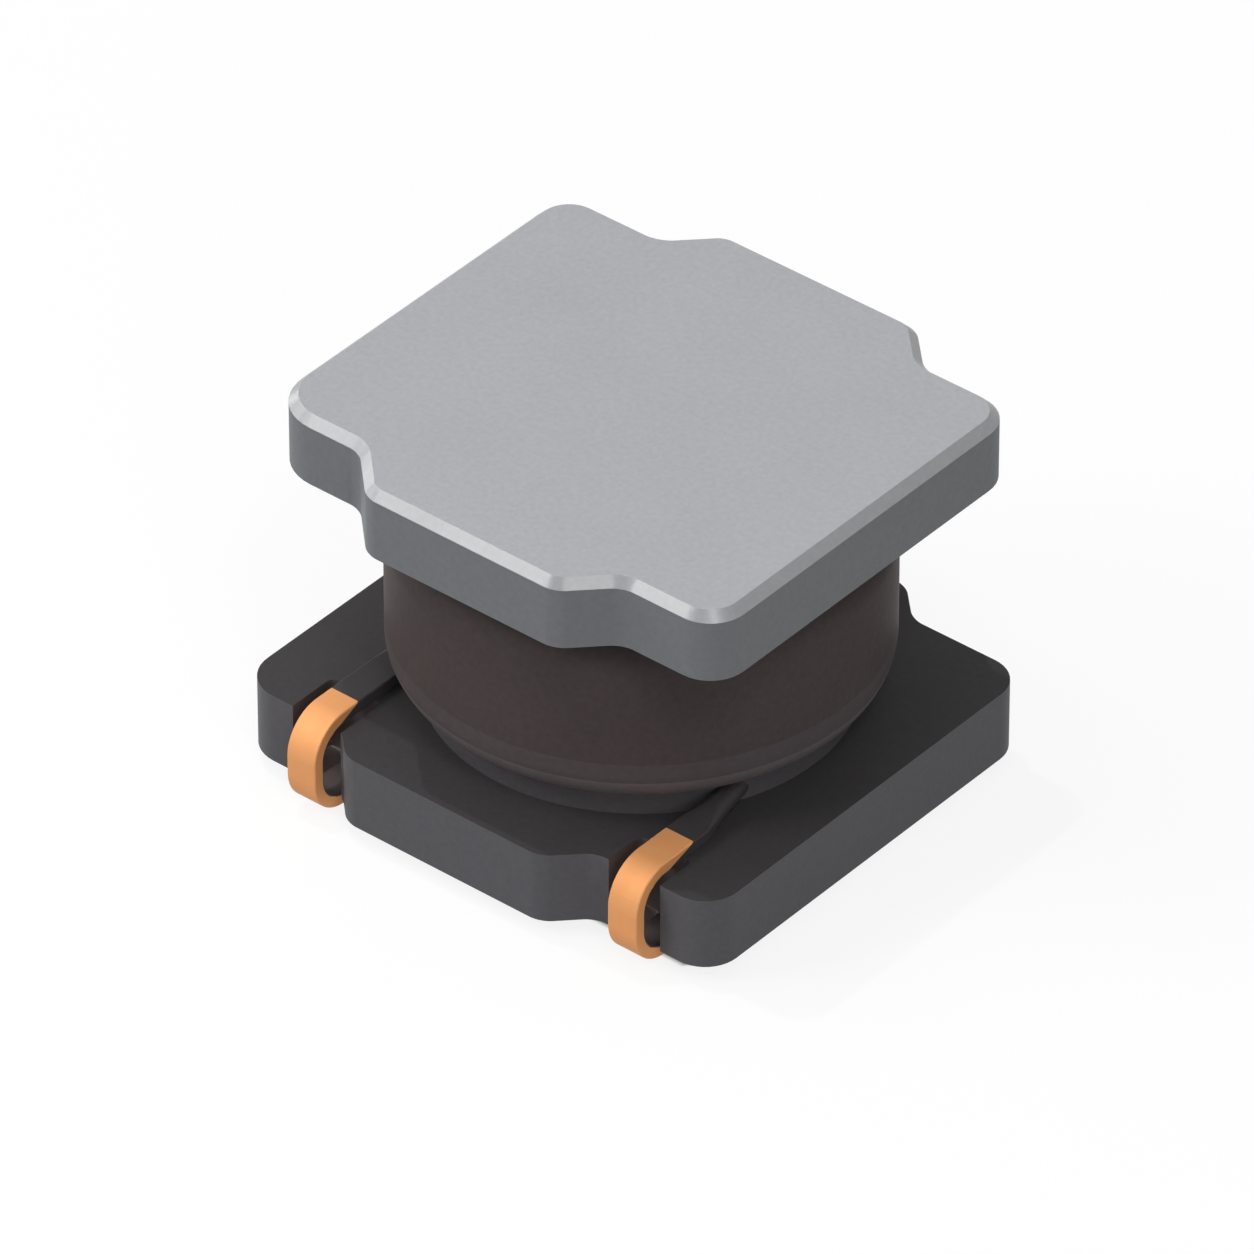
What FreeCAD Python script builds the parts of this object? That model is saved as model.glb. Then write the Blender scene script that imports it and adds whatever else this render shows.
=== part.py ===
import FreeCAD, Part
import math
import os

from FreeCAD import Vector

os.makedirs("parts", exist_ok=True)

# Shielded power inductor for surface mounting, in millimetres.
# Every piece is drawn round the axis of the post, from the plane of the circuit board upwards, and then
# moved so that the origin is below the middle of the base flange.
# Both wire ends come out on the -Y side, one at -X and one at +X.

# Base flange of the drum core
BASE_LENGTH = 6.07
BASE_WIDTH = 5.8
BASE_STEP = 0.40
BASE_CORNER_RADIUS = 0.40
BASE_LEFT_FRONT_STEP = 0.30
BASE_LEFT_FRONT_RADIUS = 0.45
BASE_SLANT_PLACES = (-1.55, 1.33)
BASE_PLACE = -0.035
BASE_THICKNESS = 0.83

# Top flange of the drum core
TOP_LENGTH = 5.86
TOP_WIDTH = 5.66
TOP_STEP = 0.48
TOP_CORNER_RADIUS = 0.42
TOP_LEFT_FRONT_STEP = 0.53
TOP_LEFT_FRONT_RADIUS = 0.60
TOP_SLANT_PLACES = (-1.41, 1.51)
TOP_THICKNESS = 0.80
TOP_CHAMFER = 0.10

# Rounding of the slants at 45 degrees, where both flanges step in towards their corners
SLANT_RADIUS = 0.30

# Post between the flanges, and the height that is free for the winding
POST_RADIUS = 1.55
WINDOW_HEIGHT = 2.60

# Slots in the base flange, which the wire ends pass through
SLOT_PLACE = 2.02
SLOT_WIDTH = 0.66
SLOT_DEPTH = 0.90
SLOT_CORNER_RADIUS = 0.08

# Enamelled wire, wound in two nested layers
WIRE_DIAMETER = 0.26
TURN_PITCH = 0.27
TURN_GROOVE_DEPTH = 0.08

# Wire ends, rolled flat and hooked round the base flange
STRIP_WIDTH = 0.37
STRIP_THICKNESS = 0.14
HOOK_RADIUS = 0.46
STRIP_LEAD_IN = 0.35
FLATTEN_LENGTH = 0.30
LEAD_SIDE_SHIFT = 0.07
LEFT_LEAD_PROUD = 0.05
RIGHT_LEAD_PROUD = -0.12

# Coat of magnetic powder in resin round the winding
COAT_THICKNESS = 0.55
COAT_PLACE = 0.04
COAT_EDGE_RADIUS = 0.42
COAT_EDGE_SWEEP = 79.0
COAT_LEAD_CLEARANCE = 0.04
LEAD_BED_WIDTH = 0.20

# Plated terminals under the base flange, and the solder over each wire end
TERMINAL_WIDTH = 1.35
TERMINAL_LENGTH = 4.0
TERMINAL_EDGE = 0.20
TERMINAL_CORNER_RADIUS = 0.12
PLATING_THICKNESS = 0.03
SOLDER_MARGIN = 0.10
SOLDER_CORNER_RADIUS = 0.30
SOLDER_EDGE_SLOPE = 0.10
SOLDER_FILM = 0.03
TAIL_SETBACK = 1.0

# Levels, from the board upwards
PLATING_BOTTOM = SOLDER_FILM + STRIP_THICKNESS
BASE_BOTTOM = PLATING_BOTTOM + PLATING_THICKNESS
BASE_TOP = BASE_BOTTOM + BASE_THICKNESS
TOP_BOTTOM = BASE_TOP + WINDOW_HEIGHT
TOP_TOP = TOP_BOTTOM + TOP_THICKNESS

# Layers of the winding, as distances from the axis of the post
WIRE_RADIUS = WIRE_DIAMETER / 2
INNER_LAYER = POST_RADIUS + WIRE_RADIUS
OUTER_LAYER = INNER_LAYER + math.sqrt(WIRE_DIAMETER ** 2 - (TURN_PITCH / 2) ** 2)
COIL_RADIUS = OUTER_LAYER + WIRE_RADIUS
LEAD_LAYER = (INNER_LAYER + OUTER_LAYER) / 2

# Places of the wire ends along X, each a little to the right of its slot's middle
LEFT_LEAD_PLACE = LEAD_SIDE_SHIFT - SLOT_PLACE
RIGHT_LEAD_PLACE = LEAD_SIDE_SHIFT + SLOT_PLACE

# Places along Y: the slots' inner ends, where the wire ends are flat, and where they are still round
SLOT_END = SLOT_DEPTH - BASE_WIDTH / 2
FLAT_START = SLOT_END + STRIP_LEAD_IN
ROUND_END = FLAT_START + FLATTEN_LENGTH


def rounded_outline(corners, level):
    """A closed flat wire through (x, y, radius) corners, each rounded by a tangent arc."""
    points = [Vector(x, y, level) for x, y, radius in corners]
    count = len(points)
    arcs, starts, ends = [], [], []
    for index, (x, y, radius) in enumerate(corners):
        here = points[index]
        back = (points[index - 1] - here).normalize()
        ahead = (points[(index + 1) % count] - here).normalize()
        half_angle = back.getAngle(ahead) / 2
        reach = radius / math.tan(half_angle)
        starts.append(here + back * reach)
        ends.append(here + ahead * reach)
        bisector = (back + ahead).normalize()
        middle = here + bisector * (radius / math.sin(half_angle) - radius)
        arcs.append([Part.Arc(starts[-1], middle, ends[-1]).toShape()] if radius else [])
    edges = []
    for index in range(count):
        edges += arcs[index]
        edges.append(Part.LineSegment(ends[index], starts[(index + 1) % count]).toShape())
    return Part.Wire(edges)


def slab(corners, bottom, thickness):
    """A flat slab with a rounded outline."""
    return Part.Face(rounded_outline(corners, bottom)).extrude(Vector(0, 0, thickness))


def block_corners(x_low, x_high, y_low, y_high, radius):
    """The corners of a rectangle, each with the same radius."""
    places = [(x_low, y_low), (x_high, y_low), (x_high, y_high), (x_low, y_high)]
    return [(x, y, radius) for x, y in places]


def flange_side(x_limits, slant_places, proud, left_corner, right_corner):
    """The corners of a flange's -Y side, from -X to +X, with the (step, radius) of its two end corners."""
    left, right = x_limits
    left_slant, right_slant = slant_places
    left_step, left_radius = left_corner
    right_step, right_radius = right_corner
    return [
        (left, left_step - proud, left_radius),
        (left_slant - left_step / 2, left_step - proud, SLANT_RADIUS),
        (left_slant + left_step / 2, -proud, SLANT_RADIUS),
        (right_slant - right_step / 2, -proud, SLANT_RADIUS),
        (right_slant + right_step / 2, right_step - proud, SLANT_RADIUS),
        (right, right_step - proud, right_radius),
    ]


def flange(x_limits, slant_places, width, left_front, corner, levels):
    """A flange whose middle stands proud on the -Y and +Y sides, with one corner unlike the others."""
    front = flange_side(x_limits, slant_places, width / 2, left_front, corner)
    back = flange_side(x_limits, slant_places, width / 2, corner, corner)
    return slab(front + [(x, -y, radius) for x, y, radius in reversed(back)], *levels)


def slot(place):
    """The block that cuts one wire slot through the base flange's -Y side."""
    low = place - SLOT_WIDTH / 2
    high = place + SLOT_WIDTH / 2
    corners = [
        (low, -BASE_WIDTH, 0),
        (high, -BASE_WIDTH, 0),
        (high, SLOT_END, SLOT_CORNER_RADIUS),
        (low, SLOT_END, SLOT_CORNER_RADIUS),
    ]
    return slab(corners, BASE_BOTTOM, BASE_THICKNESS)


def edges_at(solid, level):
    """The edges of a solid that lie flat at one level."""
    return [edge for edge in solid.Edges if all(abs(v.Z - level) < 1e-6 for v in edge.Vertexes)]


def drum_core():
    """Two flanges and the post between them, pressed and sintered as one piece."""
    base_ends = (BASE_PLACE - BASE_LENGTH / 2, BASE_PLACE + BASE_LENGTH / 2)
    base_left_front = (BASE_LEFT_FRONT_STEP, BASE_LEFT_FRONT_RADIUS)
    base_corner = (BASE_STEP, BASE_CORNER_RADIUS)
    base_levels = (BASE_BOTTOM, BASE_THICKNESS)
    base = flange(base_ends, BASE_SLANT_PLACES, BASE_WIDTH, base_left_front, base_corner, base_levels)
    base = base.cut([slot(-SLOT_PLACE), slot(SLOT_PLACE)])
    top_ends = (-TOP_LENGTH / 2, TOP_LENGTH / 2)
    top_left_front = (TOP_LEFT_FRONT_STEP, TOP_LEFT_FRONT_RADIUS)
    top_corner = (TOP_STEP, TOP_CORNER_RADIUS)
    top_levels = (TOP_BOTTOM, TOP_THICKNESS)
    top = flange(top_ends, TOP_SLANT_PLACES, TOP_WIDTH, top_left_front, top_corner, top_levels)
    top = top.makeChamfer(TOP_CHAMFER, edges_at(top, TOP_TOP))
    post = Part.makeCylinder(POST_RADIUS, WINDOW_HEIGHT, Vector(0, 0, BASE_TOP))
    return base.fuse([post, top]).removeSplitter()


def line(start, end):
    """A straight edge between two (radius, level) points of a turned profile."""
    return Part.LineSegment(Vector(start[0], 0, start[1]), Vector(end[0], 0, end[1])).toShape()


def arc(start, middle, end):
    """A round edge through three (radius, level) points of a turned profile."""
    return Part.Arc(*[Vector(radius, 0, level) for radius, level in (start, middle, end)]).toShape()


def turned(edges):
    """The solid that a closed profile sweeps round the axis of the post."""
    return Part.Face(Part.Wire(edges)).revolve(Vector(0, 0, 0), Vector(0, 0, 1), 360)


def coil():
    """The wound turns as one solid, with a ridge round it for each turn of the outer layer."""
    turns = int(WINDOW_HEIGHT / TURN_PITCH)
    half_pitch = TURN_PITCH / 2
    flank = TURN_PITCH / 4
    top = BASE_TOP + turns * TURN_PITCH
    groove = COIL_RADIUS - TURN_GROOVE_DEPTH
    inner_crest = INNER_LAYER + WIRE_RADIUS
    first = BASE_TOP + half_pitch
    last = top - half_pitch
    profile = [(POST_RADIUS, BASE_TOP), (INNER_LAYER, BASE_TOP), (inner_crest, first)]
    for turn in range(turns - 1):
        low = first + turn * TURN_PITCH
        profile += [(groove, low), (COIL_RADIUS, low + flank), (COIL_RADIUS, low + TURN_PITCH - flank)]
    profile += [(groove, last), (inner_crest, last), (INNER_LAYER, top), (POST_RADIUS, top)]
    return turned([line(start, end) for start, end in zip(profile, profile[1:] + profile[:1])])


def wire_section(x, y):
    """The wire's round section at one Y, resting on the base flange, as four equal arcs."""
    centre = Vector(x, y, BASE_TOP + WIRE_RADIUS)

    def rim(degrees):
        angle = math.radians(degrees)
        return centre + Vector(math.cos(angle), 0, math.sin(angle)) * WIRE_RADIUS

    quarters = [(start, start + 45, start + 90) for start in (-135, -45, 45, 135)]
    return Part.Wire([Part.Arc(*map(rim, quarter)).toShape() for quarter in quarters])


def flat_section(x, y, bottom, width, height):
    """A rectangular section at one Y."""
    low = Vector(x - width / 2, y, bottom)
    across = Vector(width, 0, 0)
    up = Vector(0, 0, height)
    return Part.makePolygon([low, low + across, low + across + up, low + up, low])


def run_to_winding(x):
    """The straight way from a wire end's last round section to where it meets the winding."""
    turn_away = math.acos(LEAD_LAYER / math.hypot(x, ROUND_END))
    angle = math.atan2(ROUND_END, x) + math.copysign(turn_away, x)
    meeting_point = Vector(LEAD_LAYER * math.cos(angle), LEAD_LAYER * math.sin(angle), 0)
    return meeting_point - Vector(x, ROUND_END, 0)


def lead(x, proud):
    """One wire end: off the winding, rolled flat, then hooked round and under the base flange."""
    side = x - STRIP_WIDTH / 2
    front = -BASE_WIDTH / 2 - proud
    bend_y = front + HOOK_RADIUS
    upper_bend = BASE_TOP + STRIP_THICKNESS - HOOK_RADIUS
    lower_bend = SOLDER_FILM + HOOK_RADIUS
    tail_end = TERMINAL_LENGTH + SLOT_END - SOLDER_MARGIN - TAIL_SETBACK

    def strip_section(y, bottom=BASE_TOP):
        return flat_section(x, y, bottom, STRIP_WIDTH, STRIP_THICKNESS)

    def bend(bottom, level, degrees):
        section = Part.Face(strip_section(bend_y, bottom))
        return section.revolve(Vector(x, bend_y, level), Vector(1, 0, 0), degrees)

    run = Part.Face(wire_section(x, ROUND_END)).extrude(run_to_winding(x))
    flattening = Part.makeLoft([wire_section(x, ROUND_END), strip_section(FLAT_START)], True, True)
    flat = Part.Face(strip_section(FLAT_START)).extrude(Vector(0, bend_y - FLAT_START, 0))
    rise = upper_bend - lower_bend
    upright = Part.makeBox(STRIP_WIDTH, STRIP_THICKNESS, rise, Vector(side, front, lower_bend))
    tail_length = tail_end - bend_y
    tail = Part.makeBox(STRIP_WIDTH, tail_length, STRIP_THICKNESS, Vector(side, bend_y, SOLDER_FILM))
    hook = [bend(BASE_TOP, upper_bend, 90), upright, bend(SOLDER_FILM, lower_bend, -90)]
    return run.fuse([flattening, flat, *hook, tail])


def lead_bed(x):
    """The narrow space between a wire end and the base flange, which the coat leaves empty."""
    section = flat_section(x, ROUND_END, BASE_TOP, LEAD_BED_WIDTH, WIRE_RADIUS)
    return Part.Face(section).extrude(run_to_winding(x))


def winding():
    """The whole wire: its turns on the post and its two flattened ends."""
    leads = [lead(LEFT_LEAD_PLACE, LEFT_LEAD_PROUD), lead(RIGHT_LEAD_PLACE, RIGHT_LEAD_PROUD)]
    return coil().fuse(leads).removeSplitter()


def resin_shield(core, wire):
    """The cast coat between the flanges, round the wire, with rounded edges above and below."""
    radius = COIL_RADIUS + COAT_THICKNESS
    gap = WIRE_DIAMETER + COAT_LEAD_CLEARANCE

    def edge_point(degrees, level, up):
        angle = math.radians(degrees)
        inward = COAT_EDGE_RADIUS * (1 - math.cos(angle))
        return radius - inward, level + up * COAT_EDGE_RADIUS * math.sin(angle)

    half_sweep = COAT_EDGE_SWEEP / 2
    tip = COAT_EDGE_RADIUS * math.sin(math.radians(COAT_EDGE_SWEEP))
    low = BASE_TOP + gap + tip
    high = TOP_BOTTOM - gap - tip
    low_neck = edge_point(COAT_EDGE_SWEEP, low, -1)
    high_neck = edge_point(COAT_EDGE_SWEEP, high, 1)
    neck = low_neck[0]
    coat = turned([
        line((0, BASE_TOP), (neck, BASE_TOP)),
        line((neck, BASE_TOP), low_neck),
        arc(low_neck, edge_point(half_sweep, low, -1), (radius, low)),
        line((radius, low), (radius, high)),
        arc((radius, high), edge_point(half_sweep, high, 1), high_neck),
        line(high_neck, (neck, TOP_BOTTOM)),
        line((neck, TOP_BOTTOM), (0, TOP_BOTTOM)),
        line((0, TOP_BOTTOM), (0, BASE_TOP)),
    ])
    coat.translate(Vector(COAT_PLACE, 0, 0))
    return coat.cut([core, wire, lead_bed(LEFT_LEAD_PLACE), lead_bed(RIGHT_LEAD_PLACE)])


def terminal_span(side, margin):
    """The X and Y limits of a terminal, drawn in by a margin; side is -1 or 1."""
    outer = BASE_LENGTH / 2 - TERMINAL_EDGE
    reaches = (outer - margin, outer - TERMINAL_WIDTH + margin)
    x_limits = sorted(BASE_PLACE + side * reach for reach in reaches)
    return x_limits + [SLOT_END + margin, SLOT_END + TERMINAL_LENGTH - margin]


def terminal(side):
    """The plated pad on the underside, which starts at the slot's inner end."""
    corners = block_corners(*terminal_span(side, 0), TERMINAL_CORNER_RADIUS)
    return slab(corners, PLATING_BOTTOM, PLATING_THICKNESS)


def solder(side, wire):
    """The solder over the pad and the wire end, with a flat underside that meets the board."""
    corners = block_corners(*terminal_span(side, SOLDER_MARGIN), SOLDER_CORNER_RADIUS)
    mound = slab(corners, 0, PLATING_BOTTOM)
    return mound.makeChamfer(SOLDER_EDGE_SLOPE, edges_at(mound, 0)).cut(wire)


def main():
    """Builds every piece, moves it to the origin and writes one STEP file for each."""
    to_origin = Vector(-BASE_PLACE, 0, 0)
    core = drum_core()
    wire = winding()
    pieces = {
        "drum_core": core,
        "winding": wire,
        "resin_shield": resin_shield(core, wire),
        "left_terminal": terminal(-1),
        "right_terminal": terminal(1),
        "left_solder": solder(-1, wire),
        "right_solder": solder(1, wire),
    }
    for name, shape in pieces.items():
        solids = shape.Solids
        print(name, "solids", len(solids), "valid", shape.isValid(), "volume", round(shape.Volume, 3))
        piece = solids[0] if len(solids) == 1 else shape
        piece.translated(to_origin).exportStep("parts/" + name + ".step")


main()
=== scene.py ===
import logging
import math
from abc import ABC, abstractmethod
from collections.abc import Callable, Iterator
from contextlib import contextmanager
from dataclasses import dataclass
from enum import Enum

import bmesh
import bpy
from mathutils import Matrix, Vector


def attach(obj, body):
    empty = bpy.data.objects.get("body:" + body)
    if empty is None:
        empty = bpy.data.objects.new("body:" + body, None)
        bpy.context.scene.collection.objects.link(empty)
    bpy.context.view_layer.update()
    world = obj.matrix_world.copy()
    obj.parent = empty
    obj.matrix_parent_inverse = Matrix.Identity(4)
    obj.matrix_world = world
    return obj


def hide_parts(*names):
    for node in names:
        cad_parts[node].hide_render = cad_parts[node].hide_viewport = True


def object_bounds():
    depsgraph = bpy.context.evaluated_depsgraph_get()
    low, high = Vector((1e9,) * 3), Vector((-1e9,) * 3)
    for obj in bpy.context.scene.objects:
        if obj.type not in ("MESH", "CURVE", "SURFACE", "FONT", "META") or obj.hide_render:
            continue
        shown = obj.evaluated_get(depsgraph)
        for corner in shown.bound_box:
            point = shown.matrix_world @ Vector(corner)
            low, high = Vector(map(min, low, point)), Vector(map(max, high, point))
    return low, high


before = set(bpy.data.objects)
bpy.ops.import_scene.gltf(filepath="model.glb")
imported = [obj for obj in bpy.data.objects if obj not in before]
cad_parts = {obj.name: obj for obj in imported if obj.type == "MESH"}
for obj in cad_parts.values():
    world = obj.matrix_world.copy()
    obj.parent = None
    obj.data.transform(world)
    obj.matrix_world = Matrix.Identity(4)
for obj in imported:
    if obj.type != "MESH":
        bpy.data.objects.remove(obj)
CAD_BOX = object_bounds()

# Surface-mount power inductor: a drum core of sintered ferrite with two flanges, a wire winding
# under a coat of magnetic resin, and two flattened wire ends that hook round the base flange.
# Sizes are in millimetres and angles in degrees. A piece is shaped at one unit to the millimetre
# round the axis of the post. When it is finished, it is moved to its place beside the origin and
# shrunk to metres.

LOG = logging.getLogger("inductor")
METRES_PER_MM = 0.001

# The post's axis lies this far along X from the origin, which is below the base flange's middle.
POST_PLACE = 0.035

# Places that are nearer than this are the same.
CLOSE = 1e-4

# The part of a unit direction that goes along an axis. From the first value on it is parallel to
# the axis. From the second on a face is level, and up to the third it is upright.
PARALLEL = 0.99
LEVEL = 0.97
UPRIGHT = 0.3

# An edge at a sharper angle than this is softened, or stays an edge in the shading. The shading of
# pieces whose edges are already rounded or softened needs the second value.
SHARP_EDGE = 30.0
SHARP_AFTER_ROUNDING = 35.0

Colour = tuple[float, float, float]
Place = tuple[float, float, float]
Test = Callable[[Vector, Vector], bool]
Socket = bpy.types.NodeSocket
Sockets = bpy.types.bpy_prop_collection


class Element(Enum):
    """What a selection is made of."""

    EDGES = "EDGE"
    FACES = "FACE"


class Joining(Enum):
    """How one closed shape acts on another."""

    ADD = "UNION"
    CUT = "DIFFERENCE"


class Slot(Enum):
    """The record's material slots."""

    FERRITE = "ferrite"
    WIRE = "copper_wire"
    RESIN = "magnetic_resin"
    PLATING = "plating"
    SOLDER = "solder"


# Node sheets


class NodeSheet:
    """A node tree that is filled by short calls."""

    def __init__(self, tree: bpy.types.NodeTree) -> None:
        """Takes a node tree, whose nodes are kept."""
        self.tree = tree

    def feed(self, node: bpy.types.Node, inputs: dict[str | int, object]) -> None:
        """Sets a node's inputs.

        Args:
            node: The node.
            inputs: A value or an output socket for each input that is set.
        """
        for key, value in inputs.items():
            if isinstance(value, Socket):
                self.tree.links.new(value, node.inputs[key])
            else:
                node.inputs[key].default_value = value

    def add(
        self, kind: str, inputs: dict[str | int, object] | None = None, **settings: object
    ) -> bpy.types.Node:
        """Adds a node.

        Args:
            kind: The node's type name.
            inputs: A value or an output socket for each input that is set.
            settings: The node's own settings.

        Returns:
            The new node.
        """
        node = self.tree.nodes.new(kind)
        for name, value in settings.items():
            setattr(node, name, value)
        self.feed(node, inputs or {})
        return node

    def math(self, operation: str, *values: object) -> Socket:
        """The result of a Math node on numbers or sockets."""
        return self.add("ShaderNodeMath", dict(enumerate(values)), operation=operation).outputs[0]

    def noise(self, vector: object, scale: object, detail: float) -> Socket:
        """The value of a Noise Texture node."""
        inputs = {"Vector": vector, "Scale": scale, "Detail": detail}
        return self.add("ShaderNodeTexNoise", inputs).outputs[0]

    def blend(self, share: object, low: object, high: object) -> Socket:
        """A colour between two colours."""
        node = self.add("ShaderNodeMix", {0: share, 6: low, 7: high}, data_type="RGBA")
        return node.outputs[2]

    def millimetres(self, stretch: Place = (1, 1, 1)) -> Socket:
        """Object coordinates in millimetres.

        Args:
            stretch: How many times finer a pattern gets along each axis.

        Returns:
            The vector socket.
        """
        coordinates = self.add("ShaderNodeTexCoord").outputs["Object"]
        scale = Vector(stretch) / METRES_PER_MM
        return self.add("ShaderNodeMapping", {"Vector": coordinates, "Scale": scale}).outputs[0]


class FinishSheet(NodeSheet):
    """The node sheet of a new material, with its Principled BSDF."""

    def __init__(self, name: str) -> None:
        """Makes the material.

        Args:
            name: The material's name.
        """
        material = bpy.data.materials.new(name)
        material.use_nodes = True
        super().__init__(material.node_tree)
        self.shader = self.tree.nodes["Principled BSDF"]

    def paint(self, colour: object, gloss: float = 0.5, metallic: float = 0.0) -> None:
        """Gives the shader its colour, its level of gloss and how metallic it is."""
        inputs = {"Base Color": colour, "Specular IOR Level": gloss, "Metallic": metallic}
        self.feed(self.shader, inputs)

    def roughen(self, pattern: object, middle: float, spread: float) -> None:
        """Lets the roughness follow a pattern, to both sides of a middle value."""
        uneven = self.math("MULTIPLY_ADD", pattern, spread, middle - spread / 2)
        self.feed(self.shader, {"Roughness": uneven})

    def emboss(self, heights: object, relief: float, strength: float = 0.5) -> None:
        """Gives the surface a relief of some millimetres that follows a pattern of heights."""
        inputs = {"Height": heights, "Strength": strength, "Distance": relief * METRES_PER_MM}
        self.feed(self.shader, {"Normal": self.add("ShaderNodeBump", inputs).outputs[0]})


def opaque(colour: Colour) -> tuple[float, float, float, float]:
    """A colour with full alpha."""
    return (*colour, 1.0)


class SharedPattern(ABC):
    """A node group that is built once and placed in each material with its own values."""

    NAME: str
    INPUTS: dict[str, str]
    OUTPUTS: dict[str, str]

    @classmethod
    @abstractmethod
    def draw(cls, sheet: NodeSheet, given: Sockets) -> dict[str, Socket]:
        """The socket for each output, from those of the inputs."""

    @classmethod
    def place(cls, sheet: NodeSheet, inputs: dict[str, object]) -> Sockets:
        """Places the group in a material's sheet.

        Args:
            sheet: The material's node sheet.
            inputs: A value or an output socket for each of the group's inputs.

        Returns:
            The group's outputs.
        """
        if cls.NAME not in bpy.data.node_groups:
            tree = bpy.data.node_groups.new(cls.NAME, "ShaderNodeTree")
            for way, sockets in (("INPUT", cls.INPUTS), ("OUTPUT", cls.OUTPUTS)):
                for name, kind in sockets.items():
                    tree.interface.new_socket(name, in_out=way, socket_type="NodeSocket" + kind)
            inside = NodeSheet(tree)
            inside.add("NodeGroupOutput", cls.draw(inside, inside.add("NodeGroupInput").outputs))
        tree = bpy.data.node_groups[cls.NAME]
        return sheet.add("ShaderNodeGroup", inputs, node_tree=tree).outputs


class PowderGrain(SharedPattern):
    """Fine specks and slow, cloudy changes, for surfaces pressed or cast from powder."""

    NAME = "powder_grain"
    INPUTS = {
        "Vector": "Vector",
        "Colour": "Color",
        "Speck Scale": "Float",
        "Speck Amount": "Float",
        "Cloud Scale": "Float",
        "Cloud Amount": "Float",
    }
    OUTPUTS = {"Colour": "Color", "Height": "Float", "Cloud": "Float"}
    SPECK_DETAIL = 4.0
    CLOUD_DETAIL = 3.0

    @classmethod
    def draw(cls, sheet: NodeSheet, given: Sockets) -> dict[str, Socket]:
        """Draws the pattern.

        Args:
            sheet: The group's node sheet.
            given: The group's inputs.

        Returns:
            The colour with its grain, the specks as heights, and the clouds.
        """
        specks = sheet.noise(given["Vector"], given["Speck Scale"], cls.SPECK_DETAIL)
        clouds = sheet.noise(given["Vector"], given["Cloud Scale"], cls.CLOUD_DETAIL)
        brightness = 1.0
        for pattern, amount in ((specks, given["Speck Amount"]), (clouds, given["Cloud Amount"])):
            change = sheet.math("MULTIPLY", sheet.math("SUBTRACT", pattern, 0.5), amount)
            brightness = sheet.math("ADD", change, brightness)
        inputs = {0: given["Colour"], "Scale": brightness}
        tinted = sheet.add("ShaderNodeVectorMath", inputs, operation="SCALE").outputs[0]
        return {"Colour": tinted, "Height": specks, "Cloud": clouds}


class EdgeWear(SharedPattern):
    """A mask of the outer edges, where handling rubs a surface paler."""

    NAME = "edge_wear"
    INPUTS = {"Vector": "Vector", "Width": "Float", "Amount": "Float"}
    OUTPUTS = {"Mask": "Float"}
    BEVEL_SAMPLES = 4
    STEEPNESS = 8.0
    PATCH_SCALE = 5.0
    PATCH_DETAIL = 5.0

    @classmethod
    def draw(cls, sheet: NodeSheet, given: Sockets) -> dict[str, Socket]:
        """Draws the mask.

        Args:
            sheet: The group's node sheet.
            given: The group's inputs.

        Returns:
            The mask, which is 0 away from edges.
        """
        width = {"Radius": given["Width"]}
        rounded = sheet.add("ShaderNodeBevel", width, samples=cls.BEVEL_SAMPLES).outputs[0]
        true_normal = sheet.add("ShaderNodeNewGeometry").outputs["True Normal"]
        normals = {0: rounded, 1: true_normal}
        facing = sheet.add("ShaderNodeVectorMath", normals, operation="DOT_PRODUCT")
        away = sheet.math("SUBTRACT", 1.0, facing.outputs["Value"])
        edge = sheet.math("MINIMUM", sheet.math("MULTIPLY", away, cls.STEEPNESS), 1.0)
        patches = sheet.noise(given["Vector"], cls.PATCH_SCALE, cls.PATCH_DETAIL)
        broken = sheet.math("MULTIPLY", edge, patches)
        return {"Mask": sheet.math("MULTIPLY", broken, given["Amount"])}


# Finishes


@dataclass(frozen=True)
class Finish(ABC):
    """A finish, which becomes one material that pieces share."""

    name: str

    @abstractmethod
    def draw(self, sheet: FinishSheet) -> None:
        """Fills the material's node sheet."""

    def material(self) -> bpy.types.Material:
        """The finish's material.

        Returns:
            The material, which is made when it is first asked for.
        """
        if self.name not in bpy.data.materials:
            self.draw(FinishSheet(self.name))
        return bpy.data.materials[self.name]


@dataclass(frozen=True)
class Grain:
    """How fine and how strong the specks and clouds of a powder surface are."""

    speck_scale: float
    speck_amount: float
    cloud_scale: float
    cloud_amount: float

    def place(self, sheet: NodeSheet, vector: Socket, colour: Colour) -> Sockets:
        """Places the powder grain in a material's sheet.

        Args:
            sheet: The material's node sheet.
            vector: The coordinates.
            colour: The colour without the grain.

        Returns:
            The colour with its grain, the specks as heights, and the clouds.
        """
        inputs = {
            "Vector": vector,
            "Colour": opaque(colour),
            "Speck Scale": self.speck_scale,
            "Speck Amount": self.speck_amount,
            "Cloud Scale": self.cloud_scale,
            "Cloud Amount": self.cloud_amount,
        }
        return PowderGrain.place(sheet, inputs)


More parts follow.
